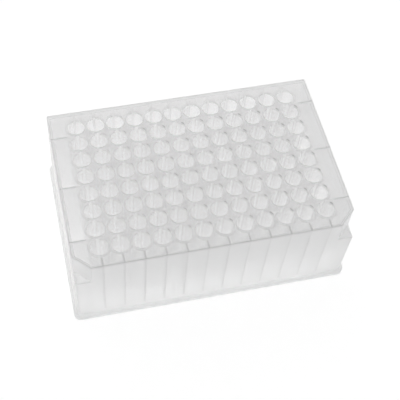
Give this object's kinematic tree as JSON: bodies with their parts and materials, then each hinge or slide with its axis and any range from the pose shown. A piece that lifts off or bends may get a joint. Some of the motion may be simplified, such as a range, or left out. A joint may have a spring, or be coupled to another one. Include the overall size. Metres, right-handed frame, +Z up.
{
  "type": "well plate",
  "caption": "Translucent deep well plate with round wells in a rectangular grid, a standing field round their mouths, notched front corners, a drafted skirt and a foot flange.",
  "frame": {"origin": "centre of the footprint, in the plane that the plate stands on", "axes": "+X along the long side, from the first column of wells to the last; +Y from the notched front side to the back; +Z up, out of the wells"},
  "size_m": [0.1278, 0.0854, 0.045],
  "materials": {
    "polypropylene": "natural translucent polypropylene, satin, slightly milky"
  },
  "bodies": {
    "root": {"well_plate": "polypropylene"}
  },
  "joints": []
}
